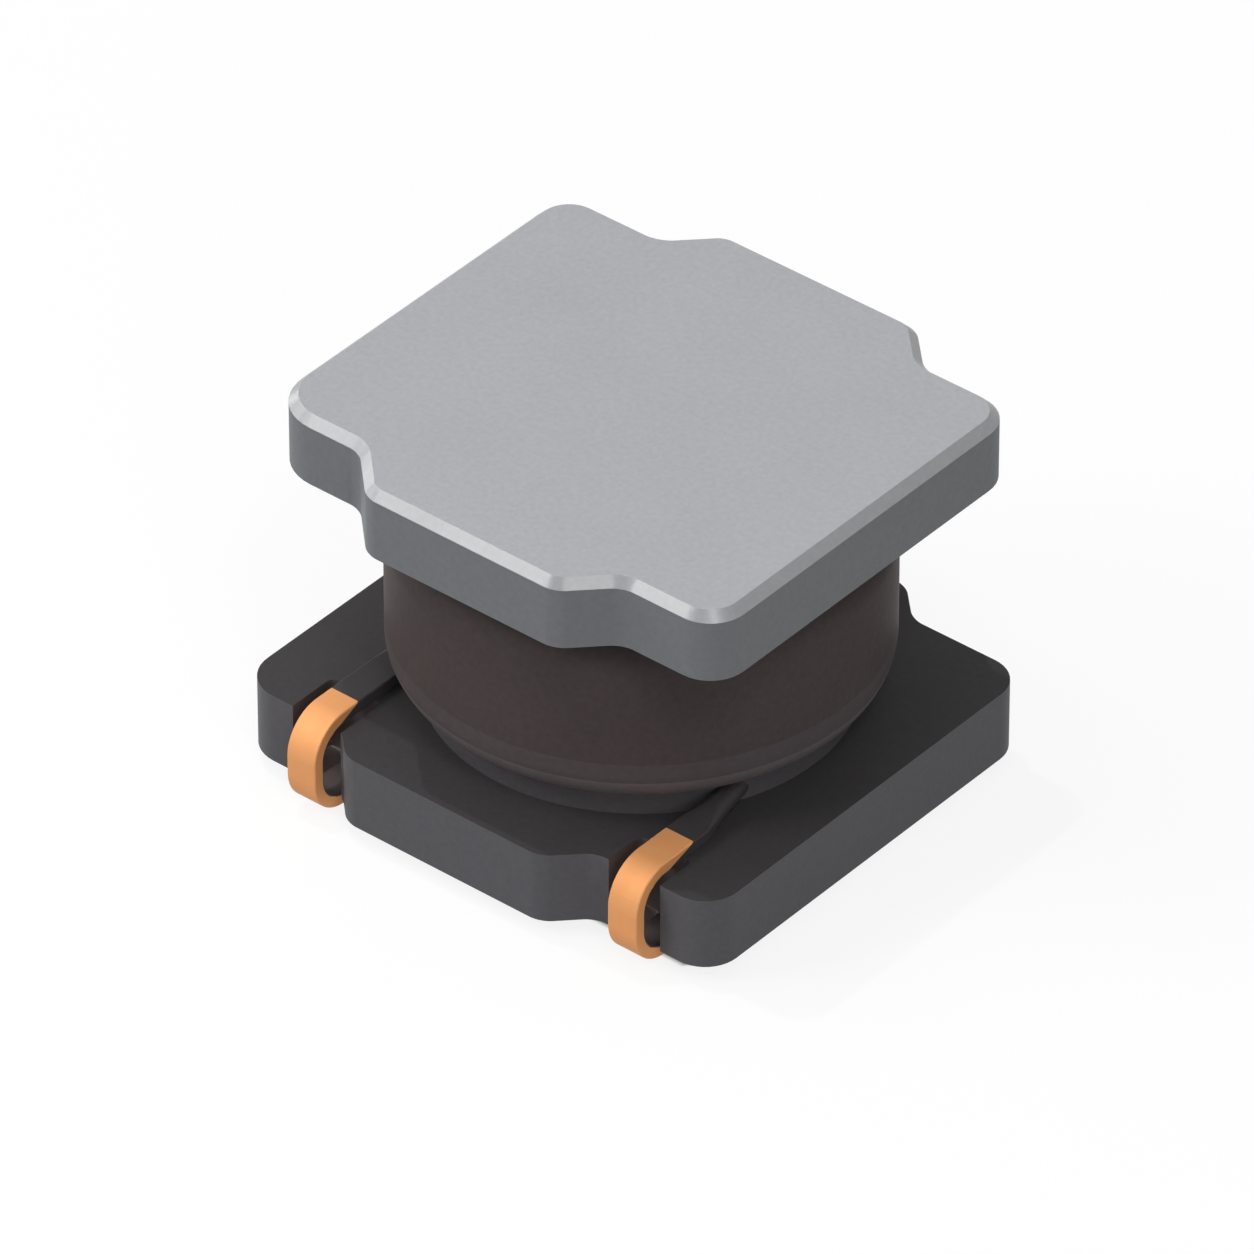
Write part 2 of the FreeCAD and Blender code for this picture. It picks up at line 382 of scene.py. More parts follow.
@dataclass(frozen=True)
class Ferrite(Finish):
    """Sintered ferrite, in a tone of its own on each group of the core's faces."""

    colour: Colour
    roughness: float
    gloss: float
    wear: float
    roughness_spread: float = 0.12
    grain: Grain = Grain(16.0, 0.26, 0.9, 0.10)
    relief: float = 0.005
    wear_width: float = 0.02
    wear_colour: Colour = (0.62, 0.62, 0.64)

    def draw(self, sheet: FinishSheet) -> None:
        """Draws grain and clouds, and edges that are rubbed paler.

        Args:
            sheet: The material's node sheet.
        """
        vector = sheet.millimetres()
        grain = self.grain.place(sheet, vector, self.colour)
        wear = {"Vector": vector, "Width": self.wear_width * METRES_PER_MM, "Amount": self.wear}
        mask = EdgeWear.place(sheet, wear)["Mask"]
        sheet.paint(sheet.blend(mask, grain["Colour"], opaque(self.wear_colour)), self.gloss)
        sheet.roughen(grain["Cloud"], self.roughness, self.roughness_spread)
        sheet.emboss(grain["Height"], self.relief)


@dataclass(frozen=True)
class MagneticResin(Finish):
    """Dark brown resin that is filled with magnetic powder."""

    colour: Colour
    roughness: float = 0.50
    roughness_spread: float = 0.16
    gloss: float = 0.02
    grain: Grain = Grain(14.0, 0.30, 0.7, 0.25)
    wave_scale: float = 1.4
    wave_detail: float = 2.0
    speck_share: float = 0.2
    relief: float = 0.02

    def draw(self, sheet: FinishSheet) -> None:
        """Draws grain and clouds over slow waves, as the resin has run.

        Args:
            sheet: The material's node sheet.
        """
        vector = sheet.millimetres()
        grain = self.grain.place(sheet, vector, self.colour)
        sheet.paint(grain["Colour"], self.gloss)
        sheet.roughen(grain["Cloud"], self.roughness, self.roughness_spread)
        waves = sheet.noise(vector, self.wave_scale, self.wave_detail)
        heights = sheet.math("MULTIPLY_ADD", grain["Height"], self.speck_share, waves)
        sheet.emboss(heights, self.relief)


@dataclass(frozen=True)
class BareCopper(Finish):
    """Copper rolled flat, with fine lines along the strip."""

    colour: Colour
    dull_colour: Colour
    roughness: float = 0.62
    roughness_spread: float = 0.16
    gloss: float = 0.15
    metallic: float = 0.30
    lines_per_mm: float = 40.0
    patch_scale: float = 3.5
    detail: float = 3.0
    tarnish: float = 0.35
    relief: float = 0.002
    relief_strength: float = 0.4

    def draw(self, sheet: FinishSheet) -> None:
        """Draws rolling lines and patches of tarnish.

        Args:
            sheet: The material's node sheet.
        """
        lines = sheet.noise(sheet.millimetres((self.lines_per_mm, 1, 1)), 1.0, self.detail)
        patches = sheet.noise(sheet.millimetres(), self.patch_scale, self.detail)
        tarnish = sheet.math("MULTIPLY", patches, self.tarnish)
        colour = sheet.blend(tarnish, opaque(self.colour), opaque(self.dull_colour))
        sheet.paint(colour, self.gloss, self.metallic)
        sheet.roughen(lines, self.roughness, self.roughness_spread)
        sheet.emboss(lines, self.relief, self.relief_strength)


@dataclass(frozen=True)
class DarkFilm(Finish):
    """A dark film that has run a little: the wire's enamel, and painted shade in the hooks and
    slots.
    """

    colour: Colour
    thin_colour: Colour
    roughness: float = 0.52
    roughness_spread: float = 0.12
    gloss: float = 0.15
    run_scale: float = 6.0
    run_detail: float = 4.0

    def draw(self, sheet: FinishSheet) -> None:
        """Draws runs where the film is thinner.

        Args:
            sheet: The material's node sheet.
        """
        runs = sheet.noise(sheet.millimetres(), self.run_scale, self.run_detail)
        sheet.paint(sheet.blend(runs, opaque(self.colour), opaque(self.thin_colour)), self.gloss)
        sheet.roughen(runs, self.roughness, self.roughness_spread)


@dataclass(frozen=True)
class Tin(Finish):
    """Tin, as dull plating or as solder that has run smooth."""

    colour: Colour
    roughness: float
    relief: float
    roughness_spread: float = 0.2
    metallic: float = 0.9
    dulling: float = 0.8
    patch_scale: float = 4.0
    patch_detail: float = 4.0
    wave_scale: float = 1.8
    wave_detail: float = 2.0

    def draw(self, sheet: FinishSheet) -> None:
        """Draws duller patches and a ripple.

        Args:
            sheet: The material's node sheet.
        """
        vector = sheet.millimetres()
        patches = sheet.noise(vector, self.patch_scale, self.patch_detail)
        dull = tuple(part * self.dulling for part in self.colour)
        sheet.paint(sheet.blend(patches, opaque(dull), opaque(self.colour)), metallic=self.metallic)
        sheet.roughen(patches, self.roughness, self.roughness_spread)
        sheet.emboss(sheet.noise(vector, self.wave_scale, self.wave_detail), self.relief)


# The finishes of the core, the coat, the wire and the underside.
# Painted light and shade: the top flange's upper face, chamfer and sides are copies of one ferrite,
# palest on the upper face and darkest on the sides.
PAINTED_LIGHT_TOP_FERRITE = Ferrite("painted_light_top_ferrite", (0.376, 0.381, 0.402), 0.55, gloss=0.4, wear=0.0)
PAINTED_LIGHT_CHAMFER_FERRITE = Ferrite("painted_light_chamfer_ferrite", (0.25, 0.254, 0.265), 0.36, gloss=1.0, wear=0.1)
PAINTED_SHADE_TOP_SIDE_FERRITE = Ferrite("painted_shade_top_side_ferrite", (0.164, 0.173, 0.182), 0.6, gloss=0.3, wear=0.12)
BASE_FERRITE = Ferrite("base_ferrite", (0.091, 0.089, 0.098), 0.6, gloss=0.25, wear=0.08)
# Painted shade: the faces between the flanges get a much darker copy of the ferrite.
PAINTED_SHADE_FERRITE = Ferrite("painted_shade_inner_ferrite", (0.047, 0.044, 0.046), 0.65, gloss=0.15, wear=0.0)
# Painted light and shade: the slot walls get a browner, paler copy of the ferrite, in the tone they
# have in the slots' shade.
PAINTED_SHADE_SLOT_FERRITE = Ferrite("painted_shade_slot_ferrite", (0.11, 0.088, 0.084), 0.65, gloss=0.1, wear=0.0)
COAT_RESIN = MagneticResin("magnetic_resin_coat", (0.076, 0.061, 0.060))
# Painted highlight: paler copies of the resin for a band at the coat's lower edge and for that
# edge's underside.
PAINTED_HIGHLIGHT_BAND_RESIN = MagneticResin("magnetic_resin_painted_highlight_band", (0.086, 0.072, 0.075))
PAINTED_HIGHLIGHT_EDGE_RESIN = MagneticResin("magnetic_resin_painted_highlight_edge", (0.128, 0.109, 0.113))
# Painted light and shade: the foot gets a greyer copy of the resin in the tone of the shade round
# the body, lighter than the coat to make up for its own shade.
PAINTED_SHADE_FOOT_RESIN = MagneticResin("magnetic_resin_painted_shade_foot", (0.092, 0.087, 0.092))
BARE_COPPER = BareCopper("bare_copper", (0.86, 0.40, 0.16), (0.66, 0.27, 0.10))
WIRE_ENAMEL = DarkFilm("wire_enamel", (0.044, 0.041, 0.042), (0.053, 0.048, 0.048))
# Painted shade: a brown film for the insides of the hooks, where they lie in the slots' shade.
PAINTED_SHADE_HOOK = DarkFilm("painted_shade_hook", (0.10, 0.082, 0.078), (0.13, 0.102, 0.095))
# Painted shade: a brown film on the plating and solder where they show through the slots' shade.
PAINTED_SLOT_SHADE_FILM = DarkFilm("painted_slot_shade_film", (0.13, 0.105, 0.100), (0.16, 0.125, 0.115))
TIN_PLATING = Tin("tin_plating", (0.62, 0.61, 0.59), roughness=0.5, relief=0.002)
SOLDER_TIN = Tin("solder_tin", (0.70, 0.70, 0.69), roughness=0.32, relief=0.01)


# Shaping of pieces


class Workpiece:
    """A mesh that is being shaped, with a pen for drawing outlines."""

    def __init__(self, name: str) -> None:
        """Takes the primitive that was just added.

        Args:
            name: The name of the piece.
        """
        bpy.ops.object.transform_apply(location=True, rotation=True, scale=True)
        self.body = bpy.context.active_object
        self.body.name = name
        self.body.data.name = name
        self.pen = Vector((0, 0, 0))

    @staticmethod
    def clear_bench() -> None:
        """Deselects every object."""
        bpy.ops.object.select_all(action="DESELECT")

    @classmethod
    def block(cls, name: str, low: Place, high: Place) -> "Workpiece":
        """Adds a block between two corners.

        Args:
            name: The name of the piece.
            low: Its lowest corner.
            high: Its highest corner.

        Returns:
            The block, ready to be shaped.
        """
        cls.clear_bench()
        middle = (Vector(low) + Vector(high)) / 2
        bpy.ops.mesh.primitive_cube_add(size=1, location=middle, scale=Vector(high) - Vector(low))
        return cls(name)

    @classmethod
    def rod(cls, name: str, radius: float, bottom: float, top: float, sides: int) -> "Workpiece":
        """Adds an upright rod round the Z axis.

        Args:
            name: The name of the piece.
            radius: Its radius.
            bottom: The level of its lower end.
            top: The level of its upper end.
            sides: How many flat sides it has.

        Returns:
            The rod, ready to be shaped.
        """
        cls.clear_bench()
        middle = (0, 0, (bottom + top) / 2)
        bpy.ops.mesh.primitive_cylinder_add(
            vertices=sides, radius=radius, depth=top - bottom, location=middle
        )
        return cls(name)

    @classmethod
    def outline(cls, name: str, x: float, z: float, y: float = 0.0) -> "Workpiece":
        """Puts the pen on a point, as a plane merged to one vertex.

        Args:
            name: The name of the piece.
            x: The point's place along X, which is its distance from the axis in a turned shape.
            z: The point's height.
            y: The point's place along Y.

        Returns:
            The single vertex, selected and ready to be drawn from.
        """
        cls.clear_bench()
        bpy.ops.mesh.primitive_plane_add(size=1, location=(x, y, z))
        piece = cls(name)
        piece.pen = Vector((x, y, z))
        with piece.shaping():
            bpy.ops.mesh.select_all(action="SELECT")
            bpy.ops.mesh.merge(type="CENTER")
        return piece

    def take_up(self) -> None:
        """Selects this piece alone and makes it the active one."""
        self.clear_bench()
        bpy.context.view_layer.objects.active = self.body
        self.body.select_set(True)

    @contextmanager
    def shaping(self) -> Iterator[None]:
        """Edit mode on this piece alone, with its selected vertices still selected.

        Yields:
            Nothing, while the piece is in edit mode.
        """
        self.take_up()
        bpy.context.tool_settings.mesh_select_mode = (True, False, False)
        bpy.ops.object.mode_set(mode="EDIT")
        yield
        bpy.ops.object.mode_set(mode="OBJECT")

    def pick(self, element: Element, test: Test) -> None:
        """Selects elements by place and direction.

        Args:
            element: Edges or faces.
            test: Says whether an element with this middle and direction is wanted. An edge has its
                own direction, and a face that of its normal.
        """
        bpy.ops.mesh.select_mode(type=element.value)
        bpy.ops.mesh.select_all(action="DESELECT")
        mesh = bmesh.from_edit_mesh(self.body.data)
        if element is Element.FACES:
            found = [(face, face.calc_center_median(), face.normal) for face in mesh.faces]
        else:
            ends = [(edge, edge.verts[0].co, edge.verts[1].co) for edge in mesh.edges]
            found = [(edge, (a + b) / 2, (b - a).normalized()) for edge, a, b in ends]
        for item, middle, direction in found:
            if test(middle, direction):
                item.select_set(True)
        mesh.select_flush_mode()
        bmesh.update_edit_mesh(self.body.data)

    def sweep(self, centre: Place, axis: Place, degrees: float, steps: int) -> None:
        """Spins the selection by the right-hand rule, which the tool itself turns round."""
        angle = -math.radians(degrees)
        bpy.ops.mesh.spin(steps=steps, angle=angle, use_auto_merge=False, center=centre, axis=axis)

    def extend(self, way: Place) -> None:
        """Extrudes the selection along a way."""
        bpy.ops.mesh.extrude_region_move(TRANSFORM_OT_translate={"value": way})

    def draw_to(self, x: float, z: float, y: float = 0.0) -> None:
        """Draws a straight line from the pen to a point.

        Args:
            x: The point's place along X.
            z: The point's height.
            y: The point's place along Y.
        """
        goal = Vector((x, y, z))
        self.extend(goal - self.pen)
        self.pen = goal

    def draw_arc(self, radius: float, level: float, degrees: float, steps: int) -> None:
        """Draws an arc from the pen, upwards on the side away from the Z axis.

        Args:
            radius: The distance of the arc's centre from the Z axis.
            level: The height of the arc's centre.
            degrees: How far the arc turns.
            steps: How many straight pieces stand for it.
        """
        angle = math.radians(degrees)
        centre = Vector((radius, 0, level))
        self.sweep(centre, (0, -1, 0), degrees, steps)
        arm = self.pen - centre
        across = arm.x * math.cos(angle) - arm.z * math.sin(angle)
        upwards = arm.x * math.sin(angle) + arm.z * math.cos(angle)
        self.pen = centre + Vector((across, 0, upwards))

    def turn(self, steps: int) -> None:
        """Sweeps the drawn outline once round the Z axis and closes the seam.

        Args:
            steps: How many steps the full turn has.
        """
        bpy.ops.mesh.select_all(action="SELECT")
        self.sweep((0, 0, 0), (0, 0, 1), 360, steps)
        self.close_seams()

    def close_seams(self) -> None:
        """Merges doubles and points every face outwards."""
        bpy.ops.mesh.select_all(action="SELECT")
        bpy.ops.mesh.remove_doubles(threshold=CLOSE)
        bpy.ops.mesh.normals_make_consistent(inside=False)

    def move(self, along_x: float) -> None:
        """Moves the whole piece.

        Args:
            along_x: How far it is moved along X.
        """
        self.take_up()
        self.body.location.x = along_x
        bpy.ops.object.transform_apply(location=True, rotation=False, scale=False)

    def split_at(self, place: Place, normal: Place) -> None:
        """Adds edges where a plane crosses the piece."""
        bpy.ops.mesh.select_all(action="SELECT")
        bpy.ops.mesh.bisect(plane_co=place, plane_no=Vector(normal).normalized(), threshold=CLOSE)

    def bevel(self, width: float, segments: int) -> None:
        """Bevels the selected edges, where one segment gives a flat chamfer."""
        shape = {"offset_type": "OFFSET", "profile": 0.5, "clamp_overlap": False}
        bpy.ops.mesh.bevel(offset=width, segments=segments, **shape)

    def combine(self, other: "Workpiece", joining: Joining) -> None:
        """Adds another closed shape to this one, or cuts it away, and removes it.

        Args:
            other: The other shape.
            joining: Whether it is added or cut away.
        """
        self.take_up()
        modifier = self.body.modifiers.new(joining.name, "BOOLEAN")
        modifier.object = other.body
        modifier.operation = joining.value
        modifier.solver = "EXACT"
        bpy.ops.object.modifier_apply(modifier=modifier.name)
        bpy.data.objects.remove(other.body)

    def soften(self, width: float, segments: int) -> None:
        """Rounds every sharp edge by a small Bevel modifier.

        Args:
            width: The width of the rounding.
            segments: The number of strips across it.
        """
        self.take_up()
        modifier = self.body.modifiers.new("soft_edges", "BEVEL")
        modifier.width = width
        modifier.segments = segments
        modifier.limit_method = "ANGLE"
        modifier.angle_limit = math.radians(SHARP_EDGE)
        bpy.ops.object.modifier_apply(modifier=modifier.name)

    def smooth(self, degrees: float) -> None:
        """Shades the piece smoothly, with flat faces kept flat.

        Args:
            degrees: The angle up to which an edge is shaded smoothly.
        """
        self.take_up()
        bpy.ops.object.shade_smooth_by_angle(angle=math.radians(degrees))
        modifier = self.body.modifiers.new("flat_faces", "WEIGHTED_NORMAL")
        modifier.weight = 100
        modifier.keep_sharp = True
        bpy.ops.object.modifier_apply(modifier=modifier.name)

    def dress(self, finish: Finish, test: Test | None = None) -> None:
        """Gives faces a finish.

        Args:
            finish: The finish.
            test: Says which faces get it, by middle and normal. Without one, all faces do.
        """
        self.body.data.materials.append(finish.material())
        if test is None:
            return
        with self.shaping():
            self.pick(Element.FACES, test)
            self.body.active_material_index = len(self.body.data.materials) - 1
            bpy.ops.object.material_slot_assign()

    def complete(self, slot: Slot, *nodes: str) -> bpy.types.Object:
        """Shrinks the piece to metres and puts it on the object.

        Args:
            slot: The material slot that it takes its finish from.
            nodes: The nodes that it stands for.

        Returns:
            The finished piece.
        """
        self.move(POST_PLACE)
        self.body.scale = (METRES_PER_MM,) * 3
        bpy.ops.object.transform_apply(location=True, rotation=True, scale=True)
        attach(self.body, "root")
        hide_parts(*nodes)
        return self.body


def stands_upright(middle: Vector, along: Vector) -> bool:
    """Whether an edge stands upright."""
    return abs(along.z) > PARALLEL


# The drum core


@dataclass(frozen=True)
class Corner:
    """How far a flange steps in towards a corner, and how that corner is rounded."""

    step: float
    radius: float


@dataclass(frozen=True)
class Flange:
    """A flange whose middle stands proud on both long sides, with one corner unlike the others."""

    name: str
    ends: tuple[float, float]
    slants: tuple[float, float]
    width: float
    corner: Corner
    left_front: Corner
    bottom: float
    thickness: float
    slant_angle: float = 45.0
    slant_radius: float = 0.30
    arc_segments: int = 10

    @property
    def top(self) -> float:
        """The level of the upper face."""
        return self.bottom + self.thickness

    def side(self, way: int, left_corner: Corner) -> list[tuple[float, float]]:
        """The outline of one long side, from -X to +X.

        Args:
            way: -1 for the -Y side and 1 for the +Y side.
            left_corner: The corner at the -X end.

        Returns:
            The places of its six corners: an end, two ends of each slant, and the other end.
        """
        left_step, right_step = left_corner.step, self.corner.step
        proud = self.width / 2
        places = (
            (self.ends[0], proud - left_step),
            (self.slants[0] - left_step / 2, proud - left_step),
            (self.slants[0] + left_step / 2, proud),
            (self.slants[1] - right_step / 2, proud),
            (self.slants[1] + right_step / 2, proud - right_step),
            (self.ends[1], proud - right_step),
        )
        return [(x, way * y) for x, y in places]

    def round_off(
        self, piece: Workpiece, places: list[tuple[float, float]], width: float, segments: int
    ) -> None:
        """Rounds the upright edges that stand at some places.

        Args:
            piece: The flange.
            places: Where the edges stand.
            width: The distance of the rounding's ends from the edge.
            segments: The number of strips round each edge.
        """
        piece.pick(
            Element.EDGES,
            lambda middle, along: stands_upright(middle, along)
            and any((middle.xy - Vector(place)).length < CLOSE for place in places),
        )
        piece.bevel(width, segments)

    def build(self) -> Workpiece:
        """Builds the flange.

        Returns:
            The flange with its stepped and rounded outline.
        """
        front = self.side(-1, self.left_front)
        back = self.side(1, self.corner)
        slant_width = self.slant_radius * math.tan(math.radians(self.slant_angle) / 2)
        piece = Workpiece.outline(self.name, front[0][0], self.bottom, front[0][1])
        with piece.shaping():
            for x, y in front[1:] + back[::-1] + front[:1]:
                piece.draw_to(x, self.bottom, y)
            bpy.ops.mesh.select_all(action="SELECT")
            bpy.ops.mesh.remove_doubles(threshold=CLOSE)
            bpy.ops.mesh.edge_face_add()
            piece.extend((0, 0, self.thickness))
            piece.close_seams()
            self.round_off(piece, front[:1], self.left_front.radius, self.arc_segments)
            other_corners = [front[-1], back[0], back[-1]]
            self.round_off(piece, other_corners, self.corner.radius, self.arc_segments)
            self.round_off(piece, front[1:-1] + back[1:-1], slant_width, self.arc_segments // 2)
        return piece


BASE_FLANGE = Flange(
    name="base_flange",
    ends=(-3.07, 3.0),
    slants=(-1.55, 1.33),
    width=5.8,
    corner=Corner(step=0.40, radius=0.40),
    left_front=Corner(step=0.30, radius=0.45),
    bottom=0.20,
    thickness=0.83,
)
TOP_FLANGE = Flange(
    name="top_flange",
    ends=(-2.93, 2.93),
    slants=(-1.41, 1.51),
    width=5.66,
    corner=Corner(step=0.48, radius=0.42),
    left_front=Corner(step=0.53, radius=0.60),
    bottom=3.63,
    thickness=0.80,
)


@dataclass(frozen=True)
class DrumCore:
    """Two flanges and the post between them, pressed and sintered as one piece."""

    base: Flange = BASE_FLANGE
    top: Flange = TOP_FLANGE
    top_chamfer: float = 0.10
    post_radius: float = 1.55
    post_sides: int = 96
    slot_place: float = 2.02
    slot_width: float = 0.66
    slot_depth: float = 0.90
    slot_corner_radius: float = 0.08
    slot_corner_segments: int = 6
    edge_softness: float = 0.012
    softness_segments: int = 3
    inner_margin: float = 0.01

    @property
    def slot_end(self) -> float:
        """The place of the slots' inner ends along Y."""
        return self.slot_depth - self.base.width / 2

    def slot_cutter(self, place: float) -> Workpiece:
        """The block that cuts one wire slot.

        Args:
            place: The middle of the slot along X.

        Returns:
            A block with rounded inner corners.
        """
        half = self.slot_width / 2
        over = self.base.thickness
        low = (place - half, -self.base.width, self.base.bottom - over)
        high = (place + half, self.slot_end, self.base.top + over)
        cutter = Workpiece.block("slot_cutter", low, high)
        with cutter.shaping():
            cutter.pick(
                Element.EDGES,
                lambda middle, along: stands_upright(middle, along)
                and abs(middle.y - self.slot_end) < CLOSE,
            )
            cutter.bevel(self.slot_corner_radius, self.slot_corner_segments)
        return cutter

    def is_in_slot(self, middle: Vector, normal: Vector) -> bool:
        """Whether a face is a wall of a wire slot.

        Args:
            middle: The middle of the face.
            normal: The direction of the face.

        Returns:
            True for an upright face between the slots' side walls.
        """
        from_middle = abs(abs(middle.x) - self.slot_place)
        inside = from_middle < self.slot_width / 2 + CLOSE and middle.y < self.slot_end + CLOSE
        return inside and middle.z < self.base.top - self.edge_softness and abs(normal.z) < UPRIGHT

    def shape(self) -> Workpiece:
        """Joins the flanges and the post.

        Returns:
            The core with its slots, its chamfer and softened edges.
        """
        core = self.base.build()
        core.body.name = "sintered_core"
        for place in (-self.slot_place, self.slot_place):
            core.combine(self.slot_cutter(place), Joining.CUT)
        top = self.top.build()
        with top.shaping():
            top.pick(Element.EDGES, lambda middle, along: abs(middle.z - self.top.top) < CLOSE)
            top.bevel(self.top_chamfer, 1)
        sunk = self.base.thickness / 4
        levels = (self.base.top - sunk, self.top.bottom + sunk)
        core.combine(Workpiece.rod("post", self.post_radius, *levels, self.post_sides), Joining.ADD)
        core.combine(top, Joining.ADD)
        core.soften(self.edge_softness, self.softness_segments)
        core.smooth(SHARP_AFTER_ROUNDING)
        return core

    def build(self) -> bpy.types.Object:
        """Builds and dresses the core, whose top flange is paler than its base flange.

        Returns:
            The finished piece.
        """
        core = self.shape()
        inner_level = self.base.top - self.inner_margin
        top_level = self.top.bottom + CLOSE
        chamfer_level = self.top.top - self.top_chamfer - self.edge_softness
        core.dress(BASE_FERRITE)
        # Painted shade on the base flange's upper face, the post and the top flange's underside.
        core.dress(PAINTED_SHADE_FERRITE, lambda middle, normal: inner_level < middle.z < top_level)
        # Painted light and shade: the top flange's sides, chamfer and upper face get darker and
        # paler copies of one ferrite.
        core.dress(PAINTED_SHADE_TOP_SIDE_FERRITE, lambda middle, normal: middle.z > top_level)
        core.dress(
            PAINTED_LIGHT_CHAMFER_FERRITE, lambda middle, normal: middle.z > chamfer_level and normal.z > UPRIGHT
        )
        core.dress(PAINTED_LIGHT_TOP_FERRITE, lambda middle, normal: middle.z > top_level and normal.z > LEVEL)
        # Painted light and shade: the slot walls get their own tone of the ferrite.
        core.dress(PAINTED_SHADE_SLOT_FERRITE, self.is_in_slot)
        return core.complete(Slot.FERRITE, "drum_core")


# The winding


@dataclass(frozen=True)
class WireEnd:
    """One end of the wire, rolled flat and hooked round the base flange."""

    name: str
    place: float
    proud: float
    bare_from: float
    bare_slant: float


@dataclass(frozen=True)
class Winding:
    """The wire: two nested layers of turns on the post, and its two flattened ends."""

    core: DrumCore
    wire_diameter: float = 0.26
    wire_sides: int = 24
    turn_pitch: float = 0.27
    turn_steps: int = 96
    groove_depth: float = 0.08
    ridge_steps: int = 8
    strip_width: float = 0.37
    strip_thickness: float = 0.14
    hook_radius: float = 0.46
    hook_steps: int = 18
    strip_lead_in: float = 0.35
    flatten_length: float = 0.30
    strip_edge_radius: float = 0.018
    strip_edge_segments: int = 5
    solder_film: float = 0.03
    tail_end: float = 0.9
    bare_margin: float = 0.1
    inside_slope: float = 0.1
    ends: tuple[WireEnd, WireEnd] = (
        WireEnd("left_end", place=-1.95, proud=0.05, bare_from=-2.26, bare_slant=2.3),
        WireEnd("right_end", place=2.09, proud=-0.12, bare_from=-1.88, bare_slant=3.2),
    )

    @property
    def wire_radius(self) -> float:
        """Half the wire's diameter."""
        return self.wire_diameter / 2

    @property
    def inner_layer(self) -> float:
        """The distance of the inner layer's wire from the axis of the post."""
        return self.core.post_radius + self.wire_radius

    @property
    def outer_layer(self) -> float:
        """The distance of the outer layer's wire, which lies in the grooves of the inner one."""
        return self.inner_layer + math.sqrt(self.wire_diameter**2 - (self.turn_pitch / 2) ** 2)

    @property
    def coil_radius(self) -> float:
        """The radius over the outer layer."""
        return self.outer_layer + self.wire_radius

    @property
    def strip_top(self) -> float:
        """The level of a strip's upper side on the base flange."""
        return self.core.base.top + self.strip_thickness

    @property
    def flat_start(self) -> float:
        """The place along Y from which the wire ends are flat."""
        return self.core.slot_end + self.strip_lead_in

    @property
    def round_end(self) -> float:
        """The place along Y up to which the wire ends are still round."""
        return self.flat_start + self.flatten_length

    def bend_place(self, end: WireEnd) -> float:
        """The place along Y of the axes of a hook's bends."""
        return self.hook_radius - self.core.base.width / 2 - end.proud

    def run_to_winding(self, place: float) -> Vector:
        """The straight way from an end's last round section to the winding.

        Args:
            place: The end's place along X.

        Returns:
            The way as a vector.
        """
        layer = (self.inner_layer + self.outer_layer) / 2
        turn_away = math.acos(layer / math.hypot(place, self.round_end))
        angle = math.atan2(self.round_end, place) + math.copysign(turn_away, place)
        meeting = Vector((layer * math.cos(angle), layer * math.sin(angle), 0))
        return meeting - Vector((place, self.round_end, 0))

    def build_end(self, end: WireEnd) -> Workpiece:
        """One wire end.

        Args:
            end: Which end.

        Returns:
            The end as a closed shape: a flat strip with a hook and a tail, then round wire.
        """
        base_top = self.core.base.top
        bend_y = self.bend_place(end)
        upper_bend = Vector((end.place, bend_y, self.strip_top - self.hook_radius))
        lower_bend = Vector((end.place, bend_y, self.solder_film + self.hook_radius))
        half = self.strip_width / 2
        low = (end.place - half, bend_y, base_top)
        high = (end.place + half, self.flat_start, self.strip_top)
        strip = Workpiece.block(end.name, low, high)
        with strip.shaping():
            strip.pick(Element.EDGES, lambda middle, along: abs(along.y) > PARALLEL)
            strip.bevel(self.strip_edge_radius, self.strip_edge_segments)
            strip.pick(Element.FACES, lambda middle, normal: normal.y < -PARALLEL)
            strip.sweep(upper_bend, (1, 0, 0), 90, self.hook_steps)
            strip.extend(lower_bend - upper_bend)
            strip.sweep(lower_bend, (1, 0, 0), 90, self.hook_steps)
            strip.extend((0, self.tail_end - bend_y, 0))
            strip.pick(Element.FACES, lambda middle, way: abs(middle.y - self.flat_start) < CLOSE)
            bpy.ops.mesh.delete(type="ONLY_FACE")
            bpy.ops.mesh.primitive_circle_add(
                vertices=self.wire_sides,
                radius=self.wire_radius,
                location=(end.place, self.round_end, base_top + self.wire_radius),
                rotation=(math.pi / 2, 0, 0),
            )
            strip.pick(
                Element.EDGES,
                lambda middle, along: abs(along.y) < 1 - PARALLEL
                and min(abs(middle.y - self.flat_start), abs(middle.y - self.round_end)) < CLOSE
                and middle.z > base_top - CLOSE,
            )
            bpy.ops.mesh.bridge_edge_loops()
            strip.pick(Element.EDGES, lambda middle, along: abs(middle.y - self.round_end) < CLOSE)
            strip.extend(self.run_to_winding(end.place))
            bpy.ops.mesh.edge_face_add()
            strip.split_at((0, end.bare_from, self.strip_top), (0, 1, -end.bare_slant))
            strip.close_seams()
        return strip

